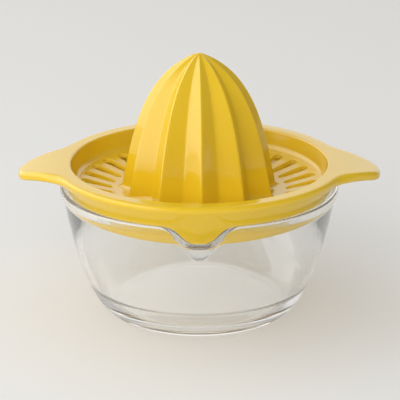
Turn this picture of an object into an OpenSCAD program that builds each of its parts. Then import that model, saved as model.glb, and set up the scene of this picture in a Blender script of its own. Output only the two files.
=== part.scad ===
// Hand citrus juicer: a pressed glass bowl with a pouring spout, and a plastic
// reamer that lifts out of it. Millimetres, Z up, the table at z = 0, the axis of
// the bowl on x = y = 0, the spout towards -Y, the ears along X. The reamer is one
// moulding; its cone, strainer floor and ring are nodes that meet face to face.

/* [Bowl] */
// Outer radius of the rim bead
rim_r = 65; // [62:0.5:72]
// Height of the rim above the table
bowl_h = 61.5; // [54:0.5:80]
// Radius of the flat underside
base_r = 38.5; // [32:0.5:44]
// Wall thickness below the rim
bowl_wall = 3; // [2.4:0.1:3.6]
// Thickness of the base
base_t = 5.5; // [3.5:0.5:9]
// Height of the rim bead
bead_h = 4.5; // [3:0.5:6]
// How far the bead stands out from the wall
bead_out = 1.4; // [0.6:0.1:2]
// How far the belly curve's second control point lies inside the rim's radius
belly_in = 7.2; // [5:0.2:12]
// Height of the belly curve's second control point
belly_z = 22.9; // [16:0.5:30]
// How far the base curve runs out before it rises
heel = 10.5; // [6:0.5:14]

/* [Spout] */
// How far the lip stands out from the rim
spout_out = 7; // [4:0.5:8]
// Half the width of the spout where it leaves the rim
spout_half = 16; // [13:0.5:20]
// Depth of the notch below the rim
spout_drop = 5.6; // [4:0.1:7]
// Thickness of the lip
spout_lip = 1.8; // [1:0.1:2.6]
// Radius of the notch, and of the channel at the lip
spout_r = 14; // [11:0.5:18]
// Slope of the channel floor, degrees above level
spout_tilt = 40; // [32:1:48]
// Half angle of the channel's taper, degrees
spout_taper = 20; // [12:1:24]
// Wall of the spout
spout_wall = 2.6; // [2:0.1:3.2]

/* [Reamer cone] */
// Largest radius over the ribs, at the floor
cone_r = 36.6; // [30:0.2:38]
// Height of the tip above the strainer floor
cone_h = 66.1; // [50:0.1:80]
// Number of ribs
ribs = 11; // [8:1:14]
// Depth of the flutes as a share of the radius
flute = 0.2; // [0.06:0.01:0.22]
// Turn of the first rib from the front, degrees
rib_turn = 2; // [0:0.5:16]
// How far the lower flank's control point lies inside the cone's radius
flank_in = 4.9; // [2:0.1:8]
// How far the shoulder's control point lies inside the cone's radius
tip_in = 9; // [6:0.1:16]
// Least wall of the hollow cone
cone_wall = 2; // [1.6:0.1:2.6]

/* [Strainer and ring] */
// Height of the ring's flat top above the glass rim
ring_rise = 10.5; // [9:0.5:14]
// How far the well's top edge lies inside the rim's radius
ring_in = 5.2; // [4:0.1:7]
// Depth of the well below the ring's top
well_depth = 13.7; // [11:0.1:16]
// Width of the level floor round the cone
floor_flat = 1.4; // [1:0.1:3]
// How far the strainer floor climbs from the level floor to the foot of the well wall
floor_rise = 5.1; // [2:0.1:6]
// How far the well wall leans in from its top edge to its foot
well_lean = 1.6; // [1:0.1:3]
// Radius of the corner between the strainer floor and the well wall
well_corner = 3; // [1:0.2:4]
// Plastic wall of the floor, the well, the ring and the skirt
wall = 2; // [1.6:0.1:2.4]
// Length of the skirt below the glass rim
skirt_drop = 10.7; // [7:0.1:13]
// Slope of the skirt, outward travel for each unit of height
skirt_slope = 0.6; // [0.5:0.01:0.66]
// Gap between the skirt and its seat in the glass rim
seat_gap = 0.3; // [0.2:0.05:0.6]
// Radius of the ring's outer shoulder
shoulder_r = 1.8; // [1.5:0.1:3]
// Radius of the ring's inner edge
lip_r = 1; // [0.5:0.1:1.4]

/* [Slots] */
// Number of strainer slots
slots = 32; // [20:1:34]
// Distance from the level floor to the slots' inner ends
slot_start = 2.8; // [1:0.1:4]
// Distance from the slots' outer ends to the foot of the well wall
slot_end = 2.8; // [2.2:0.1:5]
// Width at the inner ends
slot_w_in = 3; // [2:0.1:4]
// Width at the outer ends
slot_w_out = 4.8; // [3:0.1:5.4]
// Turn of the slots from the X axis, degrees
slot_turn = -1; // [-5:0.5:5]

/* [Ears] */
// How far an ear's tip stands out from the rim's radius
ear_out = 19.5; // [15:0.5:26]
// Radius of an ear's tip
ear_tip_r = 13; // [9:0.5:14]
// Angle between an ear's edge and the X axis, degrees
ear_angle = 42; // [36:1:46]
// Radius of the blend from the ring to an ear's edge
ear_blend = 20; // [10:1:26]
// Thickness of the ears
ear_t = 4.3; // [3:0.1:5]
// How far the tips droop below the ring's top
ear_droop = 4; // [0:0.5:6]

/* [Hidden] */
$fn = 96;
eps = 0.01;

glass = [0.86, 0.9, 0.9, 0.45];
yellow = [0.93, 0.78, 0.28];

// sizes that tie the reamer to the bowl and its own parts to each other
ring_z = bowl_h + ring_rise;
floor_z = ring_z - well_depth;
skirt_z = bowl_h - skirt_drop;
tip_z = floor_z + cone_h;
well_r = rim_r - ring_in;
foot_r = well_r - well_lean;
floor_r = cone_r + floor_flat;
slot_in = floor_r + slot_start;
slot_out = foot_r - slot_end;
ear_span = 2 * (rim_r + ear_out);

// the skirt is a plain cone whose line, carried up, meets the ring's top here
seat_z = bowl_h - 1;
lip_in = rim_r - bowl_wall + 0.15;
corner_r = lip_in - seat_gap * sqrt(1 + skirt_slope * skirt_slope)
    + (ring_z - seat_z) * skirt_slope;
skirt_a = atan(skirt_slope);
function skirt_at(z) = corner_r - (ring_z - z) * skirt_slope;

// ---- curves -------------------------------------------------------------
function bez3(p, t) = p[0] * pow(1 - t, 3) + 3 * p[1] * pow(1 - t, 2) * t
    + 3 * p[2] * (1 - t) * t * t + p[3] * t * t * t;
function bez3d(p, t) = 3 * (p[1] - p[0]) * pow(1 - t, 2)
    + 6 * (p[2] - p[1]) * (1 - t) * t + 3 * (p[3] - p[2]) * t * t;
function left(v) = [-v[1], v[0]] / norm(v);
function arc(c, r, a0, a1, n) = [for (i = [0:n])
    let (a = a0 + (a1 - a0) * i / n) c + r * [cos(a), sin(a)]];
function reversed(v) = [for (i = [len(v) - 1:-1:0]) v[i]];

// ---- bowl ---------------------------------------------------------------
wall_out = rim_r - bead_out;
bead_z = bowl_h - bead_h;
belly = [[base_r, 0], [base_r + heel, 0], [rim_r - belly_in, belly_z], [wall_out, bead_z]];
bowl_n = 20;
outer_pts = [for (i = [0:bowl_n]) bez3(belly, i / bowl_n)];
// the wall thins smoothly from the base to the rim
function bowl_t(t) = base_t + (bowl_wall - base_t) * sin(90 * min(1, t * 1.6));
inner_pts = [for (i = [0:bowl_n - 1])
    let (t = i / bowl_n) bez3(belly, t) + left(bez3d(belly, t)) * bowl_t(t)];
bead_r = 1.2;
rim_edge = (rim_r - lip_in) / 2;

module bowl_body() rotate_extrude($fn = 180) polygon(concat(
    [[0, 0]], outer_pts,
    [[rim_r - 0.4, bead_z + 0.5]],
    arc([rim_r - bead_r, bead_z + 0.6 + bead_r], bead_r, -30, 0, 3),
    arc([rim_r - rim_edge, bowl_h - rim_edge], rim_edge, 0, 180, 10),
    [[lip_in, seat_z - 0.6], [lip_in - 2.2 * skirt_slope, seat_z - 2.8]],
    reversed(inner_pts), [[0, base_t]]));

// the channel is a cone that opens outwards and upwards
lip_y = rim_r + spout_out;
lip_z = bowl_h - spout_drop;
spout_len = 24;
spout_top = 20;
// seen from above the spout is a round nose that runs into the rim
nose_sag = lip_y - sqrt(rim_r * rim_r - spout_half * spout_half);
nose_r = (spout_half * spout_half + nose_sag * nose_sag) / (2 * nose_sag);

module channel(grow) translate([0, spout_lip - lip_y, lip_z])
    rotate([90 - spout_tilt - spout_taper, 0, 0]) translate([0, spout_r, -spout_len])
    cylinder(r1 = spout_r - spout_len * tan(spout_taper) + grow / cos(spout_taper),
             r2 = spout_r + spout_top * tan(spout_taper) + grow / cos(spout_taper),
             h = spout_len + spout_top);

module bowl() color(glass) difference() {
    union() {
        bowl_body();
        // the outside of the spout, kept within the rim's height and the lip
        intersection() {
            channel(spout_wall);
            translate([0, nose_r - lip_y, 0]) rotate_extrude() polygon([
                [0, bead_z - 26], [nose_r - 4, lip_z - spout_wall - 3],
                [nose_r - 0.8, lip_z - spout_wall], [nose_r, lip_z - spout_wall + 1],
                [nose_r, bowl_h - 1], [nose_r - 1, bowl_h], [0, bowl_h]]);
        }
    }
    channel(0);
    // the notch in the lip
    translate([0, -wall_out + 5, lip_z + spout_r]) rotate([90, 0, 0])
        cylinder(r = spout_r, h = spout_out + bead_out + 6);
    // the hollow of the bowl stays open behind the spout
    rotate_extrude($fn = 180) polygon(concat([[0, base_t]], inner_pts,
        [[lip_in - 2.2 * skirt_slope, seat_z - 2.8], [lip_in, seat_z - 0.6], [lip_in, seat_z],
         [lip_in + (bowl_h + 3 - seat_z) * skirt_slope, bowl_h + 3], [0, bowl_h + 3]]));
}

// ---- reamer -------------------------------------------------------------
flank = [[cone_r, floor_z], [cone_r - flank_in, floor_z + 0.353 * cone_h],
         [cone_r - tip_in, floor_z + 0.853 * cone_h], [0, tip_z]];
cols = 8 * ribs;
rows = 17;
// share of the radius: 1 at a sharp ridge, and about 1 - flute in a flute, whose two flat sides
// meet in a small round bottom; away is the angle from the nearest ridge
half_rib = 180 / ribs;
flute_round = 1.5;
valley = (1 - flute) * [cos(half_rib), sin(half_rib)];
function eased(away) = norm([half_rib, flute_round]) - norm([half_rib - away, flute_round]);
function side_at(u) = valley[1] / (valley[1] * cos(u) + (1 - valley[0]) * sin(u));
function rib(a) = let (turns = (a - rib_turn + 90) / (2 * half_rib))
    side_at(eased(2 * half_rib * abs(turns - round(turns))));
// rows crowd a little towards the tip
function row_t(i) = 1 - pow(1 - i / rows, 1.25);
function ring_of(r, z) = [for (j = [0:cols - 1]) let (a = 360 * j / cols + rib_turn - 90)
    [r * rib(a) * cos(a), r * rib(a) * sin(a), z]];

module cone_outside() {
    body = [for (i = [0:rows - 1]) let (p = bez3(flank, row_t(i))) each ring_of(p[0], p[1])];
    pts = concat(body, [[0, 0, tip_z], [0, 0, floor_z]]);
    n = cols;
    top = n * rows;
    polyhedron(points = pts, faces = concat(
        [for (i = [0:rows - 2], j = [0:n - 1]) let (k = (j + 1) % n)
            [i * n + j, (i + 1) * n + j, (i + 1) * n + k]],
        [for (i = [0:rows - 2], j = [0:n - 1]) let (k = (j + 1) % n)
            [i * n + j, (i + 1) * n + k, i * n + k]],
        [for (j = [0:n - 1]) [top - n + j, top, top - n + (j + 1) % n]],
        [for (j = [0:n - 1]) [j, (j + 1) % n, top + 1]]));
}

// the hollow follows the flutes' valleys, one wall inside them
hollow_n = 10;
hollow_pts = [for (i = [0:hollow_n]) let (t = 0.9 * i / hollow_n, p = bez3(flank, t))
    [p[0] * (1 - flute) - cone_wall, p[1] - cone_wall * t]];

module cone() color(yellow) difference() {
    cone_outside();
    rotate_extrude($fn = 120) polygon(concat(
        [[0, floor_z - 1], [hollow_pts[0][0], floor_z - 1]],
        hollow_pts, [[0, hollow_pts[hollow_n][1] + 1]]));
}

// the strainer floor is a shallow cone, and a round corner joins it to the well wall; the
// nodes ring and strainer meet on the cylinder cut_r, just outside the slots
foot = [foot_r, floor_z + floor_rise];
well_edge = [well_r, ring_z - lip_r];
floor_a = atan2(floor_rise, foot_r - floor_r);
wall_a = atan2(well_edge[1] - foot[1], well_edge[0] - foot[0]);
floor_dir = [cos(floor_a), sin(floor_a)];
wall_dir = [cos(wall_a), sin(wall_a)];
corner_c = foot - floor_dir * well_corner * tan((wall_a - floor_a) / 2)
    + left(floor_dir) * well_corner;
function corner(r) = arc(corner_c, r, floor_a - 90, wall_a - 90, 8);
cut_r = slot_out + 0.5;
cut_z = floor_z + (cut_r - floor_r) * tan(floor_a);
cut_under = cut_z - wall / cos(floor_a);
// the shoulder is tangent to the ring's top and to the skirt
sh_cut = shoulder_r * tan((90 + skirt_a) / 2);
sh_c = [corner_r - sh_cut, ring_z - shoulder_r];
slant = wall * sqrt(1 + skirt_slope * skirt_slope);
groove_z = ring_z - wall;
lip_c = [well_r + lip_r, ring_z - lip_r];
behind = well_edge - left(wall_dir) * wall;

module ring_body() rotate_extrude($fn = 180) union() {
    // the edge of the floor, the well wall and the ring's inner edge
    polygon(concat([[cut_r, cut_under], [cut_r, cut_z]], corner(well_corner),
        arc(lip_c, lip_r, 180, 90, 4), [[lip_c[0] + wall, ring_z], [lip_c[0] + wall, groove_z],
        behind + wall_dir * (groove_z - behind[1]) / wall_dir[1]],
        reversed(corner(well_corner + wall))));
    // the ring's top, its outer shoulder and the skirt
    polygon(concat([[lip_c[0], groove_z], [lip_c[0], ring_z]],
        arc(sh_c, shoulder_r, 90, -skirt_a, 8),
        [[skirt_at(skirt_z + 0.5), skirt_z + 0.5], [skirt_at(skirt_z) - 0.5, skirt_z],
         [skirt_at(skirt_z) - slant, skirt_z], [skirt_at(groove_z) - slant, groove_z]]));
}

module slot() {
    ri = slot_w_in / 2;
    ro = slot_w_out / 2;
    a = slot_in + ri;
    b = slot_out - ro;
    k = (ro - ri) / (b - a);
    // the sides cross the round ends just inside their tangents
    c = 0.99 * sqrt(1 - k * k);
    linear_extrude(height = 10.5) union() {
        translate([a, 0]) circle(r = ri, $fn = 24);
        translate([b, 0]) circle(r = ro, $fn = 24);
        polygon([[a - ri * k, ri * c], [a - ri * k, -ri * c],
                 [b - ro * k, -ro * c], [b - ro * k, ro * c]]);
    }
}

// outline of one ear, pointing to +X, blended into the ring's greatest radius
ear_ring = sh_c[0] + shoulder_r - 0.2;
ear_c = ear_span / 2 - ear_tip_r;
ear_nv = [sin(ear_angle), cos(ear_angle)];
ear_sv = [-cos(ear_angle), sin(ear_angle)];
ear_d = ear_nv[0] * ear_c + ear_tip_r;
ear_s = sqrt(pow(ear_ring + ear_blend, 2) - pow(ear_d + ear_blend, 2));
ear_q = ear_nv * (ear_d + ear_blend) - ear_sv * ear_s;
ear_on_ring = ear_q * ear_ring / (ear_ring + ear_blend);
ear_on_line = ear_nv * ear_d - ear_sv * ear_s;
ear_on_tip = [ear_c, 0] + ear_nv * ear_tip_r;

module ear_outline() difference() {
    union() {
        translate([ear_c, 0]) circle(r = ear_tip_r);
        polygon([[corner_r - 6, 0], ear_on_ring * 0.97, ear_on_ring, ear_q, ear_on_line,
                 ear_on_tip, [ear_c, 0]]);
        mirror([0, 1]) polygon([[corner_r - 6, 0], ear_on_ring * 0.97, ear_on_ring, ear_q,
                 ear_on_line, ear_on_tip, [ear_c, 0]]);
    }
    for (s = [-1, 1]) translate([ear_q[0], s * ear_q[1]]) circle(r = ear_blend);
    circle(r = well_r + lip_r + 1.5);
}

// side view of one ear: level at the ring, then drooping to the tip
ear_root = 12;
ear_x0 = ear_ring - ear_root;
ear_x1 = ear_span / 2;
droop_x = ear_ring - 6;
function ear_fall(x) = ear_droop * pow(max(0, (x - droop_x) / (ear_x1 - droop_x)), 2);
ear_xs = [for (i = [0:12]) ear_x0 + (ear_x1 + 1 - ear_x0) * i / 12];

module ear() intersection() {
    translate([0, 0, ring_z - ear_t - ear_droop - 2])
        linear_extrude(height = ear_t + ear_droop + 4) ear_outline();
    rotate([90, 0, 0]) translate([0, 0, -rim_r]) linear_extrude(height = 2 * rim_r)
        polygon(concat([for (x = ear_xs) [x, ring_z - ear_fall(x)]],
            [for (x = reversed(ear_xs)) [x, ring_z - ear_t - ear_fall(x)]]));
}

module ring() color(yellow) union() {
    ring_body();
    ear();
    mirror([1, 0, 0]) ear();
}

module strainer() color(yellow) difference() {
    // the turned floor starts midway between two slots
    rotate([0, 0, slot_turn + 180 / slots])
        rotate_extrude($fn = 180) polygon([[hollow_pts[0][0], floor_z], [floor_r, floor_z],
            [cut_r, cut_z], [cut_r, cut_under],
            [floor_r + wall * tan(floor_a / 2), floor_z - wall],
            [hollow_pts[0][0], floor_z - wall]]);
    for (i = [0:slots - 1]) rotate([0, 0, slot_turn + 360 * i / slots])
        translate([0, 0, floor_z - wall - 1.5]) slot();
}

bowl();
ring();
strainer();
cone();
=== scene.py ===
"""A hand citrus juicer: a clear pressed-glass bowl with a pouring spout, and a glossy yellow
plastic reamer that lifts out of it. Shapes are worked out in millimetres and made in metres."""
import math

import bmesh
import bpy
import numpy as np
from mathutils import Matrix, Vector


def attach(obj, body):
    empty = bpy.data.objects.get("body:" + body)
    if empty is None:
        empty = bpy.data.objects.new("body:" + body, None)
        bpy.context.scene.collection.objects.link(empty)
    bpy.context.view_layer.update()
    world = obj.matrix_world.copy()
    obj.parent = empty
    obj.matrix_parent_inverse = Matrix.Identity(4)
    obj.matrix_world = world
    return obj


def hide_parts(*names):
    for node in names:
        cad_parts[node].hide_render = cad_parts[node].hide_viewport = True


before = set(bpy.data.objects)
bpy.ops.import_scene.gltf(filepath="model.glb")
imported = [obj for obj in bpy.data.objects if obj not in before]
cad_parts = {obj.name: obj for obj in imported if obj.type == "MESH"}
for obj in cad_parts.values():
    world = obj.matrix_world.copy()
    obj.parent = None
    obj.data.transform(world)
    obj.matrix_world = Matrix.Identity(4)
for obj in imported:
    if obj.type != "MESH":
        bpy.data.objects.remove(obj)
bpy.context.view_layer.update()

MM = 0.001

# ---- sizes in millimetres, as in the CAD -------------------------------------------
RIM_R, BOWL_H, BASE_R, BASE_T, WALL_T = 65.0, 61.5, 38.5, 5.5, 3.0
BEAD_H, BEAD_OUT, BELLY_R, BELLY_Z, HEEL = 4.5, 1.4, 57.8, 22.9, 10.5
RING_Z, FLOOR_Z, SKIRT_Z, TIP_Z = 72.0, 58.3, 50.8, 124.4
CONE_R, FLANK_R, TIP_R = 36.6, 31.7, 27.6
RIBS, FLUTE, RIB_TURN = 11, 0.2, 2.0
WELL_R, FLOOR_R, FOOT_R, FOOT_Z = 59.8, 38.0, 58.2, 63.4
WELL_CORNER, LIP_R, PLASTIC = 3.0, 1.0, 2.0
SKIRT_SLOPE, CORNER_R = 0.6, 68.7
SLOTS, SLOT_TURN = 32, -1.0
SLOT_IN, SLOT_OUT, SLOT_W_IN, SLOT_W_OUT = 40.8, 55.4, 3.0, 4.8
EAR_SPAN, EAR_TIP_R, EAR_ANGLE, EAR_BLEND, EAR_T, EAR_DROOP = 169.0, 13.0, 42.0, 20.0, 4.3, 4.0


# ---- curves ------------------------------------------------------------------------
def bez(points, t):
    """Points of a Bezier curve of any degree at each t."""
    p = [np.asarray(q, float)[None, :] * np.ones((len(t), 1)) for q in points]
    t = np.asarray(t, float)[:, None]
    while len(p) > 1:
        p = [a * (1 - t) + b * t for a, b in zip(p, p[1:])]
    return p[0]


def left_of(curve):
    """Unit normals to the left of a polyline's direction."""
    d = np.gradient(curve, axis=0)
    d /= np.linalg.norm(d, axis=1)[:, None]
    return np.stack([-d[:, 1], d[:, 0]], 1)


def smoothstep(x):
    """Goes smoothly from 0 to 1 as x does."""
    x = np.clip(x, 0, 1)
    return x * x * (3 - 2 * x)


def smin(a, b, k):
    """Lower of two values, with a smooth change over a width of k."""
    h = np.clip(0.5 + 0.5 * (b - a) / k, 0, 1)
    return b * (1 - h) + a * h - k * h * (1 - h)


def smax(a, b, k):
    """Higher of two values, with a smooth change over a width of k."""
    return -smin(-a, -b, k)


def round_max(a, b, r):
    """Meet of two fields with a round edge of radius r."""
    u, v = np.maximum(a + r, 0), np.maximum(b + r, 0)
    return np.minimum(-r, np.maximum(a, b)) + np.hypot(u, v)


# ---- mesh building -----------------------------------------------------------------
class Shell:
    """Collects grids of points, and welds them into one mesh."""

    def __init__(self):
        self.points, self.quads, self.count = [], [], 0

    def grid(self, p):
        """p has rows x columns x 3; the columns close into a ring."""
        rows, cols = p.shape[:2]
        i = np.arange(rows * cols).reshape(rows, cols)
        j = np.concatenate([i, i[:, :1]], 1)
        q = np.stack([j[:-1, :-1], j[:-1, 1:], j[1:, 1:], j[1:, :-1]], -1).reshape(-1, 4)
        self.points.append(p.reshape(-1, 3))
        self.quads.append(q + self.count)
        self.count += rows * cols

    def build(self, name, weld=2e-6):
        """Makes the object. Points closer than weld, in metres, become one."""
        co = np.concatenate(self.points) * MM
        quads = np.concatenate(self.quads)
        mesh = bpy.data.meshes.new(name)
        mesh.vertices.add(len(co))
        mesh.vertices.foreach_set("co", co.ravel())
        mesh.loops.add(quads.size)
        mesh.loops.foreach_set("vertex_index", quads.ravel())
        mesh.polygons.add(len(quads))
        mesh.polygons.foreach_set("loop_start", np.arange(len(quads)) * 4)
        mesh.update(calc_edges=True)
        bm = bmesh.new()
        bm.from_mesh(mesh)
        bmesh.ops.remove_doubles(bm, verts=bm.verts, dist=weld)
        bmesh.ops.recalc_face_normals(bm, faces=bm.faces)
        bm.to_mesh(mesh)
        bm.free()
        mesh.polygons.foreach_set("use_smooth", np.ones(len(mesh.polygons), bool))
        obj = bpy.data.objects.new(name, mesh)
        bpy.context.scene.collection.objects.link(obj)
        return obj


def turned(rz, angles):
    """Profile points (rows x cols x 2, or rows x 2) turned to their columns' angles."""
    if rz.ndim == 2:
        rz = np.repeat(rz[:, None, :], len(angles), 1)
    return np.stack([rz[..., 0] * np.cos(angles), rz[..., 0] * np.sin(angles), rz[..., 1]], -1)


# ---- reamer ------------------------------------------------------------------------
PER_SLOT = 16  # columns over one slot's share of the floor
COLS = SLOTS * PER_SLOT
ANGLES = np.radians(SLOT_TURN) + 2 * np.pi * (np.arange(COLS) / COLS - 0.5 / SLOTS)
IN_R, OUT_R = 39.7, 56.25  # the slotted part of the floor
FLOOR_A = math.atan2(FOOT_Z - FLOOR_Z, FOOT_R - FLOOR_R)
WALL_A = math.atan2(RING_Z - LIP_R - FOOT_Z, WELL_R - FOOT_R)


def floor_top(r):
    """Height of the strainer floor: level at the cone, then a shallow cone."""
    bend = 0.7
    return FLOOR_Z + math.tan(FLOOR_A) * bend * np.logaddexp(0, (r - FLOOR_R) / bend)


def floor_under(r):
    """Height of the strainer floor's underside."""
    return floor_top(r) - PLASTIC / math.cos(FLOOR_A)


def well_corner(radius, steps=9):
    """The round corner between the floor and the well wall, and what lies behind it."""
    reach = WELL_CORNER * math.tan((WALL_A - FLOOR_A) / 2)
    cx = FOOT_R - reach * math.cos(FLOOR_A) - WELL_CORNER * math.sin(FLOOR_A)
    cz = FOOT_Z - reach * math.sin(FLOOR_A) + WELL_CORNER * math.cos(FLOOR_A)
    a = np.linspace(FLOOR_A, WALL_A, steps) - math.pi / 2
    return np.stack([cx + radius * np.cos(a), cz + radius * np.sin(a)], 1)


def flank_at(t):
    """Radius and height along a ridge of the cone, from the tip down to the floor."""
    rise = TIP_Z - FLOOR_Z
    return bez([(0, TIP_Z), (TIP_R, FLOOR_Z + 0.853 * rise),
                (FLANK_R, FLOOR_Z + 0.353 * rise), (CONE_R, FLOOR_Z)], t)


def flute_ratio(theta, ridge=0.9, valley=1.7):
    """Share of the radius: 1 on a ridge, and least in a flute, whose two flat sides meet in a
    round bottom. ridge and valley are the angles in degrees that round them."""
    half = math.pi / RIBS
    ridge, valley = math.radians(ridge), math.radians(valley)
    u = np.abs((theta - math.radians(RIB_TURN - 90) + half) % (2 * half) - half)
    u = math.hypot(half, valley) - np.hypot(half - u, valley)
    u = np.hypot(u, ridge) - ridge
    x, y = (1 - FLUTE) * math.cos(half), (1 - FLUTE) * math.sin(half)
    return y / (y * np.cos(u) + (1 - x) * np.sin(u))


def cone_rows(theta):
    """Rows of the cone's outside, from the tip down to the floor at IN_R."""
    t = np.linspace(0, 1, 600)
    flank = flank_at(t)
    tip_drop, tip_reach = 0.35, 0.8  # make a small round tip
    flank[:, 1] -= tip_drop * np.exp(-flank[:, 0] / tip_reach)
    ratio = flute_ratio(theta)
    deep = (1 - ratio) / FLUTE
    fillet = 2.4 + 1.6 * deep  # at the floor, larger in a flute than under a ridge
    rows = []
    top_t = np.interp(-(FLOOR_Z + fillet), -flank[:, 1], t)
    share = np.linspace(0, 1, 84) ** 1.3  # rows lie closer at the tip
    for s in share:
        tt = s * top_t
        r = np.interp(tt, t, flank[:, 0]) * ratio
        rows.append(np.stack([r, np.interp(tt, t, flank[:, 1])], -1))
    for a in np.radians(np.linspace(0, 90, 11))[1:]:
        z = FLOOR_Z + fillet * (1 - np.sin(a))
        r = np.interp(-z, -flank[:, 1], flank[:, 0]) * ratio + fillet * (1 - np.cos(a))
        rows.append(np.stack([r, z + (floor_top(r) - FLOOR_Z) * (1 - np.cos(a)) ** 2], -1))
    last = rows[-1][:, 0]
    for s in np.linspace(0, 1, 5)[1:]:
        rows.append(np.stack([last + (IN_R - last) * s, floor_top(last + (IN_R - last) * s)], -1))
    return np.array(rows)


def hollow_rows(theta):
    """Rows of the cone's inside, from its top down to the floor's underside at IN_R."""
    roof, edge = 4.5, 0.8  # plastic above the hollow, and the round edge of its mouth
    flank = flank_at(np.linspace(0.08, 1, 50))
    ratio = 1 - FLUTE * (0.625 - 0.375 * np.cos(RIBS * (theta - math.radians(RIB_TURN - 90))))
    rows = []
    top = flank[0, 1] - roof
    low = FLOOR_Z - PLASTIC + edge
    for r, z in flank:
        zz = top + (low - top) * (flank[0, 1] - z) / (flank[0, 1] - flank[-1, 1])
        rr = np.maximum(r * ratio - PLASTIC - 0.2, 0) * smoothstep((top - zz) / 3 + 0.01) ** 0.5
        rows.append(np.stack([rr, np.full_like(theta, zz)], -1))
    rows[0][:, 0] = 0
    last = rows[-1][:, 0]
    for a in np.radians(np.linspace(0, 90, 5))[1:]:
        z = np.full_like(theta, low - edge * np.sin(a))
        rows.append(np.stack([last + edge * (1 - np.cos(a)), z], -1))
    last = rows[-1][:, 0]
    for s in np.linspace(0, 1, 5)[1:]:
        r = last + (IN_R - last) * s
        rows.append(np.stack([r, floor_under(r)], -1))
    return np.array(rows)


def slot_outline():
    """One slot's outline seen from above, its outward normals, and the matching points on the edge
    of its share of the floor. All start at the outer end and run counter-clockwise."""
    ri, ro = SLOT_W_IN / 2, SLOT_W_OUT / 2
    a, b = SLOT_IN + ri, SLOT_OUT - ro
    tilt = math.asin((ro - ri) / (b - a))
    face = math.radians(62)  # half of each end's arc that faces along the slot
    sides = 24  # steps along one side

    def arc(cx, r, a0, a1, n):
        u = np.linspace(a0, a1, n)
        nrm = np.stack([np.cos(u), np.sin(u)], 1)
        return np.array([cx, 0]) + r * nrm, nrm

    o_p, o_n = arc(b, ro, -face, face, PER_SLOT + 1)
    i_p, i_n = arc(a, ri, math.pi - face, math.pi + face, PER_SLOT + 1)
    p1, n1 = arc(b, ro, face, math.pi / 2 + tilt, 60)
    p2, n2 = arc(a, ri, math.pi / 2 + tilt, math.pi - face, 60)
    path, nrm = np.concatenate([p1, p2]), np.concatenate([n1, n2])
    run = np.concatenate([[0], np.cumsum(np.linalg.norm(np.diff(path, axis=0), axis=1))])
    at = np.linspace(0, run[-1], sides + 1)
    s_p = np.stack([np.interp(at, run, path[:, k]) for k in (0, 1)], 1)
    s_n = np.stack([np.interp(at, run, nrm[:, k]) for k in (0, 1)], 1)
    flip = np.array([1, -1])
    p = np.concatenate([o_p[:-1], s_p[:-1], i_p[:-1], (s_p * flip)[::-1][:-1]])
    n = np.concatenate([o_n[:-1], s_n[:-1], i_n[:-1], (s_n * flip)[::-1][:-1]])
    half = math.pi / SLOTS
    ang = np.linspace(-half, half, PER_SLOT + 1)
    rad = np.linspace(OUT_R, IN_R, sides + 1)
    edge = np.concatenate([
        np.stack([OUT_R * np.cos(ang), OUT_R * np.sin(ang)], 1)[:-1],
        np.stack([rad * math.cos(half), rad * math.sin(half)], 1)[:-1],
        np.stack([IN_R * np.cos(ang[::-1]), IN_R * np.sin(ang[::-1])], 1)[:-1],
        np.stack([rad[::-1] * math.cos(half), -rad[::-1] * math.sin(half)], 1)[:-1]])
    return p, n / np.linalg.norm(n, axis=1)[:, None], edge


def add_slots(shell):
    """The slotted part of the floor: top, underside and slot walls, one share per slot."""
    top_edge, under_edge = 0.55, 0.3  # radii of the slots' round edges
    p, n, edge = slot_outline()

    def layers(height, soft, sign):
        """Rings from the slot's wall out to the edge of its share, on one face of the floor."""
        out = []
        for a in np.radians(np.linspace(0, 90, 6)):
            q = p + n * soft * (1 - np.cos(a))
            z = height(np.hypot(q[:, 0], q[:, 1])) - sign * soft * (1 - np.sin(a))
            out.append(np.column_stack([q, z]))
        start = p + n * soft
        for s in np.linspace(0, 1, 7)[1:]:
            q = start + (edge - start) * s
            out.append(np.column_stack([q, height(np.hypot(q[:, 0], q[:, 1]))]))
        return out

    top = layers(floor_top, top_edge, 1)
    under = layers(floor_under, under_edge, -1)
    wall = [top[0] + (under[0] - top[0]) * s for s in np.linspace(0, 1, 4)]
    rings = np.array(top[::-1] + wall[1:-1] + under)
    for k in range(SLOTS):
        a = math.radians(SLOT_TURN) + 2 * math.pi * k / SLOTS
        c, s = math.cos(a), math.sin(a)
        shell.grid(np.stack([rings[..., 0] * c - rings[..., 1] * s,
                             rings[..., 0] * s + rings[..., 1] * c, rings[..., 2]], -1))


# the ear's outline seen from above
EAR_C = EAR_SPAN / 2 - EAR_TIP_R
EAR_N = np.array([math.sin(math.radians(EAR_ANGLE)), math.cos(math.radians(EAR_ANGLE))])
EAR_S = np.array([-EAR_N[1], EAR_N[0]])
RING_SIDE = 66.2  # radius at which the ears leave the ring
EAR_D = EAR_N[0] * EAR_C + EAR_TIP_R
EAR_L = math.sqrt((RING_SIDE + EAR_BLEND) ** 2 - (EAR_D + EAR_BLEND) ** 2)
EAR_Q = EAR_N * (EAR_D + EAR_BLEND) - EAR_S * EAR_L


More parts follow.
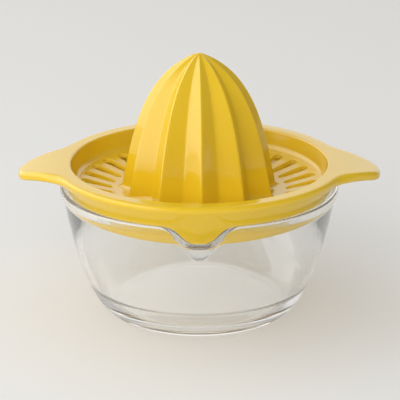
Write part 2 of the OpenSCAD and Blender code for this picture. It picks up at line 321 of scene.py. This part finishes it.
def ear_plan(x, y):
    """Signed distance in plan to the ring and its two ears, blended with fillets."""
    x, y = np.abs(x), np.abs(y)
    r = np.hypot(x, y)
    qx, qy = x - EAR_C, y
    past = qx * EAR_S[0] + qy * EAR_S[1] < 0
    wedge = np.where(past, np.hypot(qx, qy), qx * EAR_N[0] + qy * EAR_N[1]) - EAR_TIP_R
    fx, fy = x - EAR_Q[0], y - EAR_Q[1]
    to_ring, to_line = -EAR_Q / np.linalg.norm(EAR_Q), -EAR_N
    mid = to_ring + to_line
    mid /= np.linalg.norm(mid)
    f = np.hypot(fx, fy) + 1e-9
    inside = (fx * mid[0] + fy * mid[1]) / f > to_ring @ mid
    wedge = np.where(y * EAR_Q[0] > x * EAR_Q[1], r - RING_SIDE, wedge)
    return np.where(inside, EAR_BLEND - f, np.minimum(r - RING_SIDE, wedge))


EAR_X0 = 61.3  # where the droop begins


def ring_top(x):
    """Height of the ring's top, which droops along the ears."""
    return RING_Z - EAR_DROOP * (np.maximum(0, np.abs(x) - EAR_X0) / (EAR_SPAN / 2 - EAR_X0)) ** 2


def skirt_at(z):
    """Radius of the skirt's outside."""
    return CORNER_R - (RING_Z - z) * SKIRT_SLOPE


def ring_field(p):
    """Distance field of the ring's outside and the ears: below 0 in the plastic."""
    ear_edge, blend = 1.7, 2.6
    x, y, z = p[..., 0], p[..., 1], p[..., 2]
    r = np.hypot(x, y)
    top = ring_top(x)
    side = (r - skirt_at(z)) / math.hypot(1, SKIRT_SLOPE)
    ear = round_max(top - EAR_T - z, ear_plan(x, y), ear_edge)
    # away from the ears the ring's outside is the plain cone of the skirt
    past = np.arctan2(np.abs(y), np.abs(x)) - math.atan2(EAR_Q[1], EAR_Q[0])
    ear = ear + 3.5 * smoothstep(past / 0.3)
    # the top's edge is rounder on the ring than on the ears
    soft = 3.1 - 1.3 * smoothstep((r - 68) / 8)
    return round_max(z - top, smin(side, ear, blend), soft)


def settle(p, field, steps=7, h=1e-3):
    """Moves points onto the field's zero surface."""
    for _ in range(steps):
        f = field(p)
        g = np.stack([(field(p + e) - field(p - e)) / (2 * h) for e in np.eye(3) * h], -1)
        p = p - (f / np.maximum((g * g).sum(-1), 1e-6))[..., None] * g
    return p


def along(p, n, bend=1.6):
    """Resamples each column of p (rows x cols x 3) to n rows, closer where the surface turns."""
    out = np.empty((n, p.shape[1], 3))
    for c in range(p.shape[1]):
        q = p[:, c]
        d = np.diff(q, axis=0)
        ln = np.linalg.norm(d, axis=1) + 1e-9
        u = d / ln[:, None]
        turn = np.arccos(np.clip((u[1:] * u[:-1]).sum(1), -1, 1))
        w = ln + 1e-4
        w[1:] += bend * turn / 2
        w[:-1] += bend * turn / 2
        run = np.concatenate([[0], np.cumsum(w)])
        at = np.linspace(0, run[-1], n)
        out[:, c] = np.stack([np.interp(at, run, q[:, k]) for k in range(3)], 1)
    return out


SKIRT_TOP = 62.5  # where the ring's rows hand over to the skirt's


def ring_rows():
    """Rows over the ring's top and ears, from the inner edge to the skirt below the ears."""
    cx, sy = np.cos(ANGLES), np.sin(ANGLES)
    # each column's radius at the outline in plan, by halving
    lo, hi = np.full(COLS, 60.0), np.full(COLS, 92.0)
    for _ in range(40):
        mid = (lo + hi) / 2
        out = ear_plan(mid * cx, mid * sy) > 0
        lo, hi = np.where(out, lo, mid), np.where(out, mid, hi)
    reach = lo
    top_r = np.maximum(reach, 67.4)
    top_z = ring_top(top_r * cx)
    under = ring_top(np.maximum(reach, 66) * cx) - EAR_T
    wall = skirt_at(under)
    knots = [np.stack([np.full(COLS, WELL_R + 1.0), np.full(COLS, RING_Z)], -1),
             np.stack([top_r - 1.2, top_z], -1),
             np.stack([top_r, top_z - 1.2], -1),
             np.stack([np.maximum(reach, wall), under + 1], -1),
             np.stack([np.maximum(reach - 1, wall), under], -1),
             np.stack([wall, under], -1),
             np.stack([skirt_at(np.full(COLS, SKIRT_TOP)), np.full(COLS, SKIRT_TOP)], -1)]
    p = along(turned(np.array(knots), ANGLES), 160, 0)
    keep_top, keep_low = p[0].copy(), p[-1].copy()
    for n in (200, 100):
        p = settle(p, ring_field)
        p[0], p[-1] = keep_top, keep_low
        p = along(p, n)
    p[1:-1] = settle(p[1:-1], ring_field)
    p[0], p[-1] = keep_top, keep_low
    return p


def make_reamer():
    """The whole moulding as one closed shell."""
    shell = Shell()
    shell.grid(turned(cone_rows(ANGLES), ANGLES))
    shell.grid(turned(hollow_rows(ANGLES), ANGLES))
    add_slots(shell)
    # well wall and the ring's inner edge
    wall = np.linspace(well_corner(WELL_CORNER)[-1], (WELL_R, RING_Z - LIP_R), 9)
    lip = np.array([(WELL_R + LIP_R * (1 - math.cos(a)), RING_Z - LIP_R * (1 - math.sin(a)))
                    for a in np.radians(np.linspace(0, 90, 7))])
    well = np.concatenate([[(OUT_R, floor_top(OUT_R))],
                           well_corner(WELL_CORNER), wall[1:], lip[1:]])
    shell.grid(turned(well, ANGLES))
    shell.grid(ring_rows())
    # the skirt's outside, its edge, its inside, and the groove under the ring
    slant = PLASTIC * math.hypot(1, SKIRT_SLOPE)
    groove = RING_Z - PLASTIC
    edge = 0.7  # radius of the skirt's lower edge
    n = np.array([1, -SKIRT_SLOPE]) / math.hypot(1, SKIRT_SLOPE)
    prof = [(skirt_at(z), z) for z in np.linspace(SKIRT_TOP, SKIRT_Z + edge, 16)]
    c_out = np.array(prof[-1]) - n * edge
    for a in np.linspace(math.atan2(n[1], n[0]), -math.pi / 2, 5)[1:]:
        prof.append(tuple(c_out + edge * np.array([math.cos(a), math.sin(a)])))
    inner = skirt_at(SKIRT_Z + 0.3) - slant
    prof.append((inner + 0.3, c_out[1] - edge))
    prof.append((inner, c_out[1] - edge + 0.35))
    prof += [(skirt_at(z) - slant, z) for z in np.linspace(SKIRT_Z + 1.2, groove - 0.8, 12)]
    g_out = skirt_at(groove - 0.8) - slant
    behind = well_corner(WELL_CORNER + PLASTIC)
    g_in = behind[-1, 0] + (groove - behind[-1, 1]) / math.tan(WALL_A)
    prof += [(g_out - 0.1, groove - 0.25), (g_out - 0.7, groove),
             (g_in + 0.6, groove), (g_in + 0.1, groove - 0.3)]
    prof += [tuple(q) for q in behind[::-1]]
    prof.append((OUT_R, float(floor_under(OUT_R))))
    shell.grid(turned(np.array(prof), ANGLES))
    return shell.build("reamer_shell")


# ---- bowl --------------------------------------------------------------------------
WALL_OUT, BEAD_Z = RIM_R - BEAD_OUT, BOWL_H - BEAD_H
BELLY = [(BASE_R, 0), (BASE_R + HEEL, 0), (BELLY_R, BELLY_Z), (WALL_OUT, BEAD_Z)]
WALL_STEPS = np.linspace(0, 1, 500)
OUTSIDE = bez(BELLY, WALL_STEPS)
# the glass thins from the base to the wall
THICK = BASE_T + (WALL_T - BASE_T) * np.sin(np.radians(90) * np.minimum(1, WALL_STEPS * 1.6))
INSIDE = OUTSIDE + left_of(OUTSIDE) * THICK[:, None]
HEEL_END = 60  # from this point on INSIDE only rises
SPOUT_OUT, SPOUT_DROP, SPOUT_SIDE = 6.9, 5.2, 9.16


def wall_out(z):
    """Radius of the plain wall's outside."""
    return np.interp(z, OUTSIDE[:, 1], OUTSIDE[:, 0])


def wall_in(z):
    """Radius of the plain wall's inside."""
    return np.interp(z, INSIDE[HEEL_END:, 1], INSIDE[HEEL_END:, 0])


def bowl_angles():
    """Column angles, closest together at the spout."""
    fine = np.arange(-26, 26, 0.4)
    coarse = np.linspace(26, 334, 250, endpoint=False)
    return np.radians(np.concatenate([fine, coarse]) - 90)


def make_bowl():
    """The glass as one closed shell. Near the spout the rim moves out and down, and the wall
    follows it along a slanting line inside and outside."""
    a = bowl_angles()
    off = (a + math.pi / 2 + math.pi) % (2 * math.pi) - math.pi
    side = np.where(np.abs(off) < math.pi / 2, RIM_R * np.abs(np.sin(off)), RIM_R)
    push = np.exp(-(side / SPOUT_SIDE) ** 2.6)  # 1 in the middle of the spout, 0 away from it
    rim_z = BOWL_H - SPOUT_DROP * push
    out_r = RIM_R + SPOUT_OUT * push
    half = 1.25 - 0.15 * push  # half of the rim's thickness
    # how far each line moves in for each millimetre down, outside and inside
    slope_out = 0.95 + (0.35 + 0.0035 * side ** 2) * np.exp(-(side / 12) ** 6)
    slope_in = 1.15 + 0.0035 * side ** 2
    foot_z = rim_z - (4.1 - 2.0 * push)  # foot of the rim's bead
    in_r = out_r - 2 * half
    seat_z = rim_z - half - 0.15
    rows = []
    one = np.ones_like(a)

    def add(r, z):
        rows.append(np.stack([r * one, z * one], -1))

    for r in (0, 8, 16, 24, 31, 36, BASE_R - 0.6):
        add(r, 0)
    # outside wall, its rows spread along its own height in each column
    steps = WALL_STEPS[OUTSIDE[:, 1] < 30][::12]
    for p in bez(BELLY, steps):
        add(p[0], p[1])
    z0 = bez(BELLY, steps[-1:])[0][1]
    for s in np.linspace(0, 1, 46)[1:]:
        z = z0 + (foot_z - z0) * s
        line = out_r - (foot_z - z) * slope_out - 0.25
        add(smax(wall_out(z), line, 0.9), z)
    # up the bead and over the rim
    r_end, z_end = rows[-1][:, 0], foot_z
    rise = rim_z - half - foot_z
    for s in np.linspace(0, 1, 8)[1:]:
        e = 1 - (1 - min(1, s * 2.2)) ** 2
        add(r_end + (out_r - r_end) * e, z_end + rise * s)
    for u in np.radians(np.linspace(0, 180, 17))[1:]:
        add(out_r - half + half * np.cos(u), rim_z - half + half * np.sin(u))
    # down the inside
    in_low = 16.0
    top_z = rim_z - half
    for s in np.linspace(0, 1, 56)[1:]:
        z = top_z + (in_low - top_z) * s ** 1.15
        # the line that the rim's inside keeps, and the spout's channel, which goes past it
        seat = RIM_R - 2.5 - np.maximum(0, BOWL_H - 1.4 - z) * 0.3
        line = smax(seat, in_r - np.maximum(0, seat_z - z) * slope_in, 0.5)
        add(smax(wall_in(z), line, 1.2), z)
    inner = INSIDE[INSIDE[:, 1] < in_low - 0.4][::-7]
    stop = np.argmin(inner[:, 1])
    for p in inner[:stop + 1]:
        add(p[0], p[1])
    r0, zl = inner[stop]
    for r in (36, 31, 24, 16, 8, 0):
        add(r, BASE_T - (BASE_T - zl) * (r / r0) ** 6 if r else BASE_T)
    shell = Shell()
    shell.grid(turned(np.array(rows), a))
    return shell.build("glass_bowl")


reamer = make_reamer()
bowl = make_bowl()


# ---- materials ---------------------------------------------------------------------
def new_material(name):
    """A material, its node tree and its main shader."""
    m = bpy.data.materials.new(name)
    m.use_nodes = True
    nt = m.node_tree
    return m, nt, nt.nodes["Principled BSDF"]


def noise(nt, scale, detail):
    """Even noise that is fixed to the object."""
    tc = nt.nodes.new("ShaderNodeTexCoord")
    n = nt.nodes.new("ShaderNodeTexNoise")
    n.inputs["Scale"].default_value = scale
    n.inputs["Detail"].default_value = detail
    nt.links.new(tc.outputs["Object"], n.inputs["Vector"])
    return n.outputs["Fac"]


def span(nt, value, lo, hi):
    """Spreads a value from 0 to 1 over lo to hi."""
    m = nt.nodes.new("ShaderNodeMapRange")
    m.inputs["To Min"].default_value = lo
    m.inputs["To Max"].default_value = hi
    nt.links.new(value, m.inputs["Value"])
    return m.outputs["Result"]


def larger(nt, a, b):
    """Larger of two values."""
    m = nt.nodes.new("ShaderNodeMath")
    m.operation = "MAXIMUM"
    nt.links.new(a, m.inputs[0])
    nt.links.new(b, m.inputs[1])
    return m.outputs["Value"]


def srgb(*colour):
    """A screen colour as a linear one."""
    return tuple(c / 12.92 if c <= 0.04045 else ((c + 0.055) / 1.055) ** 2.4
                 for c in colour) + (1,)


def plastic():
    """Glossy yellow, with faint changes of tone and gloss and a fine moulded grain."""
    m, nt, b = new_material("yellow_plastic")
    ramp = nt.nodes.new("ShaderNodeMix")
    ramp.data_type = "RGBA"
    ramp.inputs["A"].default_value = srgb(0.875, 0.725, 0.125)
    ramp.inputs["B"].default_value = srgb(0.89, 0.745, 0.15)
    nt.links.new(noise(nt, 45, 2), ramp.inputs["Factor"])
    nt.links.new(ramp.outputs["Result"], b.inputs["Base Color"])
    nt.links.new(span(nt, noise(nt, 160, 3), 0.1, 0.15), b.inputs["Roughness"])
    bump = nt.nodes.new("ShaderNodeBump")
    bump.inputs["Strength"].default_value = 0.05
    bump.inputs["Distance"].default_value = 0.0002
    nt.links.new(noise(nt, 700, 2), bump.inputs["Height"])
    nt.links.new(bump.outputs["Normal"], b.inputs["Normal"])
    b.inputs["IOR"].default_value = 1.5
    b.inputs["Specular IOR Level"].default_value = 0.7
    b.inputs["Subsurface Weight"].default_value = 0.15
    b.inputs["Subsurface Radius"].default_value = (1.0, 0.6, 0.15)
    b.inputs["Subsurface Scale"].default_value = 0.002
    return m


def glass():
    """Clear pressed glass with a faint waviness."""
    m, nt, b = new_material("clear_glass")
    b.inputs["Base Color"].default_value = srgb(0.99, 0.993, 0.992)
    b.inputs["Transmission Weight"].default_value = 1.0
    b.inputs["IOR"].default_value = 1.5
    b.inputs["Roughness"].default_value = 0.0
    bump = nt.nodes.new("ShaderNodeBump")
    bump.inputs["Strength"].default_value = 0.04
    bump.inputs["Distance"].default_value = 0.0005
    nt.links.new(noise(nt, 30, 1), bump.inputs["Height"])
    nt.links.new(bump.outputs["Normal"], b.inputs["Normal"])
    # lamps and the room shine through, and light that the glass would trap leaves it dimmed
    path = nt.nodes.new("ShaderNodeLightPath")
    trapped = nt.nodes.new("ShaderNodeMath")
    trapped.operation = "GREATER_THAN"
    trapped.inputs[1].default_value = 4.5  # bounces
    nt.links.new(path.outputs["Ray Depth"], trapped.inputs[0])
    through = larger(nt, path.outputs["Is Shadow Ray"], path.outputs["Is Diffuse Ray"])
    clear = nt.nodes.new("ShaderNodeBsdfTransparent")
    nt.links.new(span(nt, through, 0.7, 0.99), clear.inputs["Color"])
    mix = nt.nodes.new("ShaderNodeMixShader")
    nt.links.new(larger(nt, through, trapped.outputs["Value"]), mix.inputs["Fac"])
    nt.links.new(b.outputs["BSDF"], mix.inputs[1])
    nt.links.new(clear.outputs["BSDF"], mix.inputs[2])
    out = next(n for n in nt.nodes if n.type == "OUTPUT_MATERIAL")
    nt.links.new(mix.outputs["Shader"], out.inputs["Surface"])
    return m


reamer.data.materials.append(plastic())
bowl.data.materials.append(glass())
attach(reamer, "reamer")
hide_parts("ring", "strainer", "cone")
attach(bowl, "bowl")
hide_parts("bowl")


# ---- stage -------------------------------------------------------------------------
def make_stage():
    """A wide flat floor under the bowl."""
    half, below = 4.0, 0.0003
    m, nt, b = new_material("pale_floor")
    b.inputs["Base Color"].default_value = srgb(0.93, 0.93, 0.925)
    b.inputs["Roughness"].default_value = 0.7
    b.inputs["Specular IOR Level"].default_value = 0.2
    mesh = bpy.data.meshes.new("floor")
    corners = [(-half, -half, 0), (half, -half, 0), (half, half, 0), (-half, half, 0)]
    mesh.from_pydata(corners, [], [(0, 1, 2, 3)])
    mesh.materials.append(m)
    floor = bpy.data.objects.new("floor", mesh)
    bpy.context.scene.collection.objects.link(floor)
    floor.location.z = -below


def area(name, place, aim, size, power):
    """A lamp that lights the object, but isn't seen in the plastic or through the glass."""
    light = bpy.data.lights.new(name, "AREA")
    light.shape = "RECTANGLE"
    light.size, light.size_y = size
    light.energy = power
    o = bpy.data.objects.new(name, light)
    o.location = place
    o.rotation_euler = (Vector(aim) - Vector(place)).to_track_quat("-Z", "Y").to_euler()
    bpy.context.scene.collection.objects.link(o)
    o.visible_glossy = o.visible_transmission = False


def light_world(world):
    """A pale room. Reflections and the glass show it bright to the left and at the back and dark
    elsewhere, and the light it sheds is stronger from the left."""
    nt = world.node_tree
    room = nt.nodes["Background"]
    room.inputs["Color"].default_value = srgb(0.97, 0.965, 0.955)
    tc = nt.nodes.new("ShaderNodeTexCoord")
    xyz = nt.nodes.new("ShaderNodeSeparateXYZ")
    nt.links.new(tc.outputs["Generated"], xyz.inputs["Vector"])

    def zone(value, start, end):
        """Goes smoothly from 0 at start to 1 at end."""
        m = nt.nodes.new("ShaderNodeMapRange")
        m.interpolation_type = "SMOOTHSTEP"
        m.inputs["From Min"].default_value = start
        m.inputs["From Max"].default_value = end
        nt.links.new(value, m.inputs["Value"])
        return m.outputs["Result"]

    lit = larger(nt, zone(xyz.outputs["X"], -0.36, -0.55),
                 span(nt, zone(xyz.outputs["Y"], 0.6, 0.85), 0, 0.52))
    path = nt.nodes.new("ShaderNodeLightPath")
    kinds = ((path.outputs["Is Glossy Ray"], span(nt, lit, 0.2, 2.5)),
             (path.outputs["Is Transmission Ray"], span(nt, lit, 0.6, 2.5)))
    # what a diffuse ray meets, then what the camera sees, then reflections and the glass
    strength = nt.nodes.new("ShaderNodeMix")
    nt.links.new(span(nt, zone(xyz.outputs["X"], 0.7, -0.7), 0.44, 0.9), strength.inputs["A"])
    strength.inputs["B"].default_value = 1.0
    nt.links.new(path.outputs["Is Camera Ray"], strength.inputs["Factor"])
    strength = strength.outputs["Result"]
    for flag, level in kinds:
        step = nt.nodes.new("ShaderNodeMix")
        nt.links.new(flag, step.inputs["Factor"])
        nt.links.new(strength, step.inputs["A"])
        nt.links.new(level, step.inputs["B"])
        strength = step.outputs["Result"]
    nt.links.new(strength, room.inputs["Strength"])


make_stage()
world = bpy.data.worlds.new("studio")
bpy.context.scene.world = world
world.use_nodes = True
light_world(world)
area("key", (-1.3, 0.1, 0.7), (0, 0, 0.06), (2.0, 1.3), 8)
area("fill", (-0.5, -1.65, 0.9), (0, 0, 0.05), (2.0, 1.2), 18)

# ---- camera ------------------------------------------------------------------------
# degrees, metres, and pixels of a 400-pixel picture
ELEV, DIST, TARGET_Z, FOCAL_PX, AXIS_X = 19.05, 1.012, 0.0527, 2155.7, 199.2
cam_data = bpy.data.cameras.new("camera")
cam_data.sensor_width = 36
cam_data.sensor_fit = "HORIZONTAL"
cam_data.lens = 36 * FOCAL_PX / 400
cam_data.clip_start, cam_data.clip_end = 0.05, 20
cam = bpy.data.objects.new("camera", cam_data)
elev = math.radians(ELEV)
target = Vector(((200 - AXIS_X) * DIST / FOCAL_PX, 0, TARGET_Z))
cam.location = target + Vector((0, -math.cos(elev), math.sin(elev))) * DIST
cam.rotation_euler = (math.pi / 2 - elev, 0, 0)
bpy.context.scene.collection.objects.link(cam)
bpy.context.scene.camera = cam
bpy.context.scene.view_settings.view_transform = "Standard"
